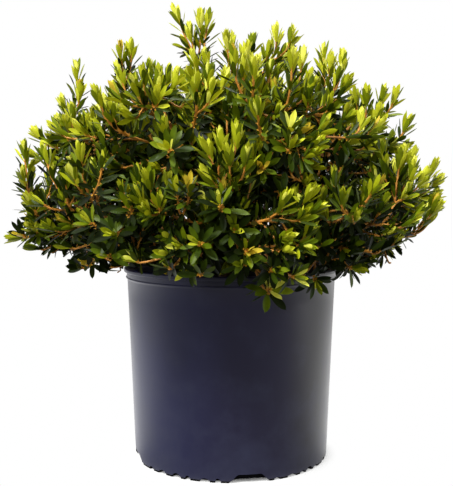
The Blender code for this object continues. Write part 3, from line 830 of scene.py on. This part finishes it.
def nearestFork(limbs, tip, heading):
    # the point, way and radius where it costs the least to fork, for a shoot that heads this way at its tip
    upright = heading.z * heading.z
    sideways = up.cross(heading).normalized()
    best = None
    for limb in limbs:
        for share in wood["forks"]:
            point, way, radius = placeOn(limb, share)
            reach = tip - point
            if reach.length < wood["shortest"]:
                continue
            ahead = reach.normalized()
            cost = reach.length + wood["turnCost"] * (1 - way.dot(ahead))
            cost += wood["riseCost"] * upright * (1 - heading.dot(ahead))
            cost += wood["sideCost"] * max(1 - upright, wood["leastSideCost"]) * abs(reach.dot(sideways))
            if best is None or cost < best[0]:
                best = (cost, point, way, radius)
    return best[1:] if best else None


def growTwig(limbs, tip, heading, wander, hook):
    found = nearestFork(limbs, tip, heading)
    if not found:
        return None
    start, way, radius = found
    foot = min(wood["foot"], radius * wood["seat"])
    span = (tip - start).length
    if hook:  # a shoot that hangs over the rim arches up and comes down to its tip
        end = tip - heading * hook
        first = start + (way + up).normalized() * (span * wood["handle"])
        points = bezier(start, first, end + up * (2 * hook) - heading * hook, end, wood["rings"])
        return limbOf(points + [tip], foot, wood["tip"])
    least, slope = wood["climb"]
    climb = least + slope * max(tip.z - start.z, 0)
    upright = heading.z * heading.z
    first = start + (way + (tip - start).normalized()).normalized() * (span * wood["handle"])
    first += wander * (span * wood["wander"])
    second = tip - heading * min(span * 0.5, wood["straight"] * upright, climb)
    return limbOf(bezier(start, first, second, tip, wood["rings"]), foot, wood["tip"])


def clearOfPot(point):
    return (point.z > pot["height"] + pot["clear"]
            or math.hypot(point.x, point.y) > pot["rim"] + pot["clear"])


def sideShoot(twig, turn, reach, chance):
    # leaves a twig below its tip and rises beside it, no further out than its reach
    below = min(chance.uniform(*fork["below"]), twig["length"] * fork["lowest"])
    start, way, radius = placeOn(twig, 1 - below / twig["length"])
    tip, heading, _ = placeOn(twig, 1)
    out = outFrom(heading, turn)
    end = tip + out * chance.uniform(*fork["beside"]) - heading * chance.uniform(*fork["drop"])
    far = (end + heading * wood["overhang"] - crown["centre"]).length - reach
    if far > 0:
        end -= (end - crown["centre"]).normalized() * far
    span = (end - start).length
    low, high = fork["handles"]
    onward, outward = fork["outward"]
    first = start + (way * onward + out).normalized() * (span * low)
    second = end - (heading + out * outward).normalized() * (span * high)
    thick, thin = fork["thickness"]
    points = bezier(start, first, second, end, fork["rings"])
    return limbOf(points, min(wood["tip"] * thick, radius), wood["tip"] * thin)


# tiers of leaves on a shoot, from its tip down: how many, how far below the tip, angle from the shoot in
# degrees, length, width as a share of it, fold, bend along the blade (inwards above zero) and age
bearings = {
    "tuft": (
        (6, (0.000, 0.002), (5, 18), (0.018, 0.024), 0.25, 0.60, 0.14, 0.0),
        (8, (0.002, 0.010), (18, 38), (0.021, 0.027), 0.24, 0.50, 0.14, 1.8),
        (8, (0.014, 0.034), (34, 60), (0.021, 0.027), 0.22, 0.40, 0.08, 4.0),
        (9, (0.040, 0.056), (52, 86), (0.022, 0.028), 0.21, 0.35, 0.02, 5.1),
        (9, (0.060, 0.112), (62, 94), (0.022, 0.029), 0.23, 0.30, -0.06, 5.7),
    ),
    "open": (
        (4, (0.000, 0.003), (6, 20), (0.017, 0.022), 0.25, 0.50, 0.10, 1.2),
        (5, (0.003, 0.010), (30, 54), (0.021, 0.027), 0.25, 0.40, 0.04, 3.4),
        (7, (0.010, 0.024), (56, 86), (0.022, 0.028), 0.26, 0.30, -0.02, 4.6),
        (7, (0.030, 0.056), (60, 92), (0.022, 0.029), 0.26, 0.30, -0.08, 5.0),
        (6, (0.060, 0.110), (65, 96), (0.022, 0.029), 0.27, 0.30, -0.08, 5.6),
    ),
    "rosette": (
        (4, (0.000, 0.002), (10, 34), (0.018, 0.023), 0.28, 0.50, 0.06, 0.6),
        (6, (0.002, 0.006), (42, 64), (0.022, 0.027), 0.27, 0.35, 0.02, 3.6),
        (7, (0.005, 0.012), (68, 90), (0.023, 0.029), 0.27, 0.30, -0.06, 4.3),
        (16, (0.018, 0.110), (60, 95), (0.022, 0.028), 0.27, 0.30, -0.08, 5.2),
    ),
    "star": (
        # its first tier takes the newest, palest colour, though the crown overhangs it: painted light
        (5, (0.000, 0.002), (22, 50), (0.021, 0.026), 0.27, 0.40, 0.06, -2.0),
        (8, (0.002, 0.008), (60, 86), (0.027, 0.031), 0.32, 0.40, -0.04, 3.7),
        (12, (0.009, 0.050), (74, 95), (0.024, 0.029), 0.30, 0.30, -0.08, 4.6),
    ),
    # the middle and inner shoots bear leaves with the dark colours of old leaves: partly age, partly painted
    # shade for the inside of the crown
    "shade": (
        (6, (0.000, 0.010), (18, 50), (0.022, 0.029), 0.30, 0.40, 0.02, 4.2),
        (10, (0.010, 0.060), (55, 92), (0.022, 0.030), 0.29, 0.30, -0.08, 5.2),
    ),
    "deep": (
        (6, (0.000, 0.014), (30, 70), (0.024, 0.030), 0.34, 0.25, 0.0, 5.8),
        (9, (0.014, 0.060), (60, 95), (0.024, 0.030), 0.34, 0.22, -0.08, 6.2),
    ),
}
leafHabit = {
    "turn": 137.5,  # degrees from one leaf to the next
    "light": 0.25,  # how far a leaf's face turns up to the light
    "seat": 0.5,  # how deep its foot sits, as a share of the twig's radius
    "lowest": 0.95,
    "gilded": {"open": 0.15, "rosette": 0.15},  # share of the sprays with gilded tips
    "gildedElse": 0.04,
    # how far each leaf strays from its tier, its turn and roll in radians
    "stray": {"turn": 0.25, "angle": 7, "roll": 0.3, "fold": 0.1, "bend": 0.04, "age": 1.5},
}
# the crown's underside rises outwards, more so on the right, and in front of the pot, where the rim shows
underside = {
    "height": 0.230,
    "from": 0.18,  # distance from the pot's axis at which it starts to rise, and over which it has risen
    "over": 0.10,
    "power": 1.4,
    "rise": (0.050, 0.085),  # on the left and on the right
    "turn": 0.15,
    "front": 0.012,
    "frontDepth": 0.13,
    "leftFront": (0.014, 0.04, 0.05),  # more on the left: how much, from where, over what
    "ragged": (-0.006, 0.010),
    # how far past it the leaves of a named shoot may hang, further over the rim and on the right
    "hanging": {"long": -0.04, "front": -0.02},
    "hangingRight": (0.04, -0.045),
}


def lowestLeaf(point):
    away = math.hypot(point.x - crown["centre"].x, point.y)
    outer = max((away - underside["from"]) / underside["over"], 0)
    rise = between(underside["rise"], clamped(point.x / underside["turn"]))
    more, side, over = underside["leftFront"]
    bare = underside["front"] + more * clamped((-point.x - side) / over)
    front = clamped(-point.y / underside["frontDepth"])
    return underside["height"] + rise * outer ** underside["power"] + bare * front


def leavesOn(twig, chance, bearing, shade, hanging):
    # each leaf: foot, way, face, length, width, fold, bend, age
    def stray(what):
        return chance.uniform(-leafHabit["stray"][what], leafHabit["stray"][what])

    found = []
    turn = chance.uniform(0, 2 * math.pi)
    gilding = chance.random() < leafHabit["gilded"].get(bearing, leafHabit["gildedElse"])
    for tier, (count, below, angle, lengths, width, fold, bend, tierAge) in enumerate(bearings[bearing]):
        for i in range(count):
            share = (i + 0.5) / count
            down = between(below, share)
            turn += math.radians(leafHabit["turn"]) + stray("turn")
            if down > twig["length"] * leafHabit["lowest"]:
                continue
            point, heading, radius = placeOn(twig, 1 - down / twig["length"])
            out = outFrom(heading, turn)
            lean = math.radians(between(angle, share) + stray("angle"))
            way = heading * math.cos(lean) + out * math.sin(lean)
            face = (heading * math.sin(lean) - out * math.cos(lean) + up * leafHabit["light"]).normalized()
            roll = Matrix.Rotation(stray("roll"), 3, way)
            length = chance.uniform(*lengths)
            end = point + way * length
            if not clearOfPot(end) or not clearOfPot(point + way * (length / 2)):
                continue
            if end.z < lowestLeaf(end) + hanging:
                continue
            age = min(max(int(round(tierAge + shade + stray("age"))), 0), oldest)
            foot = point + out * (radius * leafHabit["seat"])
            found.append((foot, way, roll @ face, length, length * width, fold + stray("fold"),
                          bend + stray("bend"), gilded if gilding and tier == 0 else age))
    return found


leafBlade = {
    "across": 2,
    "along": 8,
    "widest": 0.60,  # how far along the blade
    "fullness": 0.66,
    "stalk": 0.12,
    "tip": 0.10,
    "tipRows": 0.10,  # the rows are closer together towards the tip
    "point": (0.1, 8),  # how far the tip's corners stand back, and how late
}


def leafPrototype():
    # a flat blade one long and one wide, from a grid that is narrowed to the leaf's outline
    bm = bmesh.new()
    bmesh.ops.create_grid(bm, x_segments=leafBlade["across"], y_segments=leafBlade["along"], size=0.5)
    skew = math.log(0.5) / math.log(leafBlade["widest"])
    back, late = leafBlade["point"]
    for v in bm.verts:
        along = v.co.y + 0.5
        along += leafBlade["tipRows"] * along * math.sin(math.pi * along)
        oval = max(math.sin(math.pi * min(along, 1)**skew), 0) ** leafBlade["fullness"]
        wide = max(oval, leafBlade["stalk"] if along < 0.5 else leafBlade["tip"])
        v.co = Vector((v.co.x * wide, along - back * abs(v.co.x) * along**late, 0))
    bm.verts.ensure_lookup_table()
    points = np.array([v.co for v in bm.verts])
    faces = np.array([[v.index for v in face.verts] for face in bm.faces])
    bm.free()
    return points, faces


bladePoints, bladeFaces = leafPrototype()


def stampLeaves(name, leaves, nodes):
    # one joined mesh of every leaf of a mass, from arrays
    count, corners = len(leaves), len(bladePoints)
    foot = np.array([leaf[0] for leaf in leaves])
    way = np.array([leaf[1].normalized() for leaf in leaves])
    face = np.array([leaf[2] for leaf in leaves])
    side = np.cross(way, face)
    side /= np.linalg.norm(side, axis=1, keepdims=True)
    face = np.cross(side, way)
    length, width, fold, bend = (np.array([leaf[i] for leaf in leaves])[:, None] for i in (3, 4, 5, 6))
    x, y = bladePoints[:, 0][None], bladePoints[:, 1][None]
    lift = fold * np.abs(x) * width + bend * length * y**2
    points = (foot[:, None] + side[:, None] * (x * width)[..., None] + way[:, None] * (y * length)[..., None]
              + face[:, None] * lift[..., None]).reshape(-1, 3)
    faces = (bladeFaces[None] + (np.arange(count) * corners)[:, None, None]).reshape(-1, 4)
    mesh = bpy.data.meshes.new(name)
    mesh.vertices.add(len(points))
    mesh.vertices.foreach_set("co", points.ravel())
    mesh.loops.add(faces.size)
    mesh.loops.foreach_set("vertex_index", faces.ravel())
    mesh.polygons.add(len(faces))
    mesh.polygons.foreach_set("loop_start", np.arange(0, faces.size, 4))
    mesh.update(calc_edges=True)
    addPiece(name, mesh, leafSkins, nodes)
    ages = np.repeat([leaf[7] for leaf in leaves], len(bladeFaces)).reshape(count, -1)
    ages[:, :leafBlade["across"]] = stalk
    mesh.polygons.foreach_set("material_index", ages.ravel())
    mesh.shade_smooth()


def tubesPiece(name, limbs, skins, nodes=(), resolution=1):
    # one curve with a round bevel, made a mesh, from limbs that each come with their skin's index
    curve = bpy.data.curves.new(name, "CURVE")
    curve.dimensions = "3D"
    curve.bevel_depth = 1.0
    curve.bevel_resolution = resolution
    curve.use_fill_caps = True
    for skin in skins:
        curve.materials.append(skin)
    for limb, index in limbs:
        spline = curve.splines.new("POLY")
        spline.points.add(len(limb["points"]) - 1)
        spline.material_index = index
        for place, point, radius in zip(spline.points, limb["points"], limb["radii"]):
            place.co = (*point, 1)
            place.radius = radius
    thing = newObject(name + "Curve", curve)
    mesh = finishedMesh(thing, name)
    bpy.data.objects.remove(thing, do_unlink=True)
    mesh.materials.clear()
    addPiece(name, mesh, skins, nodes)
    mesh.shade_smooth()
    return mesh


ageingAndShade = {  # sprays that are high and outside are young and bright, and those low on the crown take older, darker colours, partly by age and partly as painted shade
    "below": 0.43,
    "drop": 0.2,
    # long shoots take less of this painted shade, so that they look lit
    "weight": {"long": 0.5, "front": 1.6, "dome": 1.6},
    "stray": (-0.5, 0.8),
}
opening = (0.05, 0.35)  # the lower a shoot of the dome, the likelier it is to be open


def growMass(mass, shoots):
    start = mass["boughTip"] + mass["axis"] * bough["gap"]
    end = crown["centre"] + mass["axis"] * (wood["stemShare"] * mass["reach"])
    stem = limbOf([start, end], bough["tip"], wood["stemTip"])
    limbs = [stem]
    dressed = [(stem, brownBark)]
    leaves = []
    for shoot in shoots:
        kind, direction, bearing = shoot["kind"], shoot["direction"], shoot["bearing"]
        if nearestMass(direction) is not mass:
            continue
        chance = random.Random(shoot["seed"])
        wander = Vector([chance.uniform(-1, 1) for _ in range(3)])
        tip, heading = shootTip(shoot)
        heading += Vector([chance.uniform(-wood["stray"], wood["stray"]) for _ in range(3)])
        heading.normalize()
        twig = growTwig(limbs, tip, heading, wander, wood["starHook"] if bearing == "star" else 0)
        if twig is None or not all(clearOfPot(point) for point in twig["points"]):
            continue
        ragged = chance.uniform(*underside["ragged"])
        if kind == "dome" and tip.z < lowestLeaf(tip) + ragged:
            continue
        if bearing != "star" and (kind != "front" or direction.z > wood["deepest"]):
            limbs.append(twig)
        if kind == "dome" and bearing == "tuft" and chance.random() > (direction.z + opening[0]) / opening[1]:
            bearing = "open"
        # a spray low on the crown takes older, darker colours: partly age, partly painted shade
        low = max(0.0, ageingAndShade["below"] - tip.z) / ageingAndShade["drop"] * ageingAndShade["weight"][kind]
        shade = shoot["age"] + low + chance.uniform(*ageingAndShade["stray"])
        hanging = underside["hanging"].get(kind, ragged)
        if kind == "front" and tip.x > underside["hangingRight"][0]:
            hanging = underside["hangingRight"][1]
        spray = [twig]
        count = chance.randint(*shoot["sides"])
        turn = chance.uniform(0, 2 * math.pi)
        for i in range(count):
            angle = turn + 2 * math.pi * i / count + chance.uniform(-fork["stray"], fork["stray"])
            side = sideShoot(twig, angle, shoot["reach"], chance)
            sideTip = side["points"][-1]
            if all(clearOfPot(point) for point in side["points"]) and sideTip.z > lowestLeaf(sideTip):
                spray.append(side)
        lowest, least, full = wood["tanRise"]
        bare = bearing in ("shade", "deep", "star") or direction.z < lowest
        tan = 0 if bare else wood["tanLength"] * clamped(direction.z / full, least)
        for branch in spray:
            older, younger = splitLimb(branch, tan)
            oldBark = brownBark if direction.z < wood["russetRise"] else russetBark
            dressed += [(part, bark) for part, bark in ((older, oldBark), (younger, tanBark)) if part]
            leaves += leavesOn(branch, chance, bearing, shade, hanging)
    tubesPiece("twigs_" + mass["name"], dressed, barkSkins)
    stampLeaves("leaves_" + mass["name"], leaves, ["foliage_" + mass["name"]])
    return len(leaves)


def trunkRadius(share):
    flare = (trunk["foot"] - trunk["neck"]) * math.exp(-trunk["flare"] * share)
    rounding, late = trunk["rounding"]
    return (flare + trunk["neck"] + (trunk["head"] - trunk["neck"]) * share) * (1 - rounding * share**late)


def makeStems():
    # trunk and boughs with the bark's relief: ridges that run up the trunk and break into flakes
    shares = [i / (trunk["rings"] - 1) for i in range(trunk["rings"])]
    points = [Vector((trunk["lean"] * share, 0, trunk["level"] + trunk["height"] * share))
              for share in shares]
    trunkLimb = {"points": points, "radii": [trunkRadius(share) for share in shares]}
    limbs = [(trunkLimb, 0)] + [(boughPath(mass), 0) for mass in masses]
    nodes = ["trunk"] + ["bough_" + mass["name"] for mass in masses]
    mesh = tubesPiece("stems", limbs, [barkSkins[brownBark]], nodes, resolution=8)
    mesh.update()
    (ridge, ridgeHeight), (flake, flakeHeight) = trunk["ridges"], trunk["flakes"]
    shifts = []
    for v in mesh.vertices:
        spot = v.co.copy()
        spot.z *= trunk["drawnOut"]
        relief = noise.noise(spot * ridge) * ridgeHeight + noise.noise(spot * flake) * flakeHeight
        shifts.append(v.co + v.normal * (relief - trunk["inset"]))
    for v, place in zip(mesh.vertices, shifts):
        if v.co.z > trunk["level"] + trunk["smoothFoot"]:
            v.co = place


shoots = listShoots()
leafTotal = sum(growMass(mass, shoots) for mass in masses)
makeStems()
report(f"crown, {leafTotal} leaves")

studio = {
    "paper": "EDEDEB",
    "paperReach": (0.108, 0.142),  # metres from the pot over which the paper fades into the white tent
    # glow of the tent from its open side, towards the camera, to its back, as shares of the brightest
    "tent": ((0.0, "6C6C6C"), (0.125, "747474"), (0.25, "888888"), (0.375, "A2A2A2"), (0.5, "CACACA"),
             (1.0, "FFFFFF")),
    "tentPower": 1.9,
    "farFloor": (0.30, 1.40, 0.50),  # the floor's glow falls off between these distances, to this share
    "floorReach": 6,
    "aim": (0, 0, 0.3),  # where the lamps point
    # each lamp: place, size, watts, whether it shows in a sheen
    "lamps": {
        "keyLight": ((-0.9, -1.5, 2.2), 0.7, 99, True),
        "topLight": ((0.4, 0.1, 2.5), 1.0, 50, True),
        "sideLight": ((2.2, -0.2, 0.45), 1.0, 8, True),
        "frontLight": ((-0.5, -2.0, 0.7), 0.5, 14, False),
    },
    "camera": (-0.0060, -1.0947, 0.3487),
    "tilt": 3.71,  # degrees below level
    "lens": 61.8,
    "sensor": 36,
}


def tentGlow(tree, output, dimming=None):
    # a white tent that is open, and so darker, towards the camera; the camera itself sees plain white
    place = addNode(tree, "TexCoord")
    way = addNode(tree, "VectorMath", {"operation": "NORMALIZE"}, {"Vector": (place, output)})
    parts = addNode(tree, "SeparateXYZ", links={"Vector": (way, "Vector")})
    towards = addNode(tree, "MapRange", {"From Min": -1.0, "From Max": 1.0}, {"Value": (parts, "Y")})
    shares = addNode(tree, "ValToRGB", links={"Fac": (towards, "Result")}, stops=studio["tent"])
    tent = addNode(tree, "Math", {"operation": "MULTIPLY", 1: studio["tentPower"]},
                   {0: (shares, "Color")})
    if dimming:
        tent = addNode(tree, "Math", {"operation": "MULTIPLY"},
                       {0: (tent, "Value"), 1: (dimming, "Result")})
    path = addNode(tree, "LightPath")
    return addNode(tree, "Mix", {3: 1.0}, {0: (path, "Is Camera Ray"), 2: (tent, "Value")})


def makeStage():
    # pale paper under the pot, matt and uncoated, that fades into the tent
    material, tree, shader, output = newMaterial("palePaper")
    wire(tree, shader, {"Base Color": linear(studio["paper"]), "Roughness": 0.9})
    place = addNode(tree, "TexCoord")
    away = addNode(tree, "VectorMath", {"operation": "LENGTH"}, {"Vector": (place, "Object")})
    near, far = studio["paperReach"]
    fade = addNode(tree, "MapRange",
                   {"From Min": near, "From Max": far, "interpolation_type": "SMOOTHSTEP"},
                   {"Value": (away, "Value")})
    near, far, least = studio["farFloor"]
    dimming = addNode(tree, "MapRange",
                      {"From Min": near, "From Max": far, "To Min": 1.0, "To Max": least},
                      {"Value": (away, "Value")})
    glow = tentGlow(tree, "Object", dimming)
    sweep = addNode(tree, "Emission", links={"Strength": (glow, "Result")})
    both = addNode(tree, "MixShader",
                   links={"Fac": (fade, "Result"), 1: (shader, "BSDF"), 2: (sweep, "Emission")})
    wire(tree, output, links={"Surface": (both, "Shader")})
    bm = bmesh.new()
    bmesh.ops.create_circle(bm, cap_ends=True, segments=64, radius=studio["floorReach"])
    mesh = meshFrom(bm, "floor")
    mesh.materials.append(material)
    floor = newObject("floor", mesh)


def makeLamp(name, place, size, power, sheen):
    lamp = bpy.data.lights.new(name, "AREA")
    lamp.shape = "DISK"
    lamp.size = size
    lamp.energy = power
    thing = newObject(name, lamp)
    thing.location = place
    thing.rotation_euler = (Vector(studio["aim"]) - Vector(place)).to_track_quat("-Z", "Y").to_euler()
    thing.visible_glossy = sheen


def makeWorld():
    world = bpy.data.worlds.new("tent")
    bpy.context.scene.world = world
    world.use_nodes = True
    tree = world.node_tree
    tree.nodes.clear()
    glow = tentGlow(tree, "Generated")
    sky = addNode(tree, "Background", {"Color": (1, 1, 1, 1)}, {"Strength": (glow, "Result")})
    addNode(tree, "OutputWorld", links={"Surface": (sky, "Background")})


def makeCamera():
    lens = bpy.data.cameras.new("camera")
    lens.lens = studio["lens"]
    lens.sensor_width = studio["sensor"]
    camera = newObject("camera", lens)
    camera.location = studio["camera"]
    camera.rotation_euler = (math.radians(90 - studio["tilt"]), 0, 0)
    bpy.context.scene.camera = camera


makeStage()
makeWorld()
for name, settings in studio["lamps"].items():
    makeLamp(name, *settings)
makeCamera()
bpy.context.scene.view_settings.view_transform = "Standard"
report("stage")
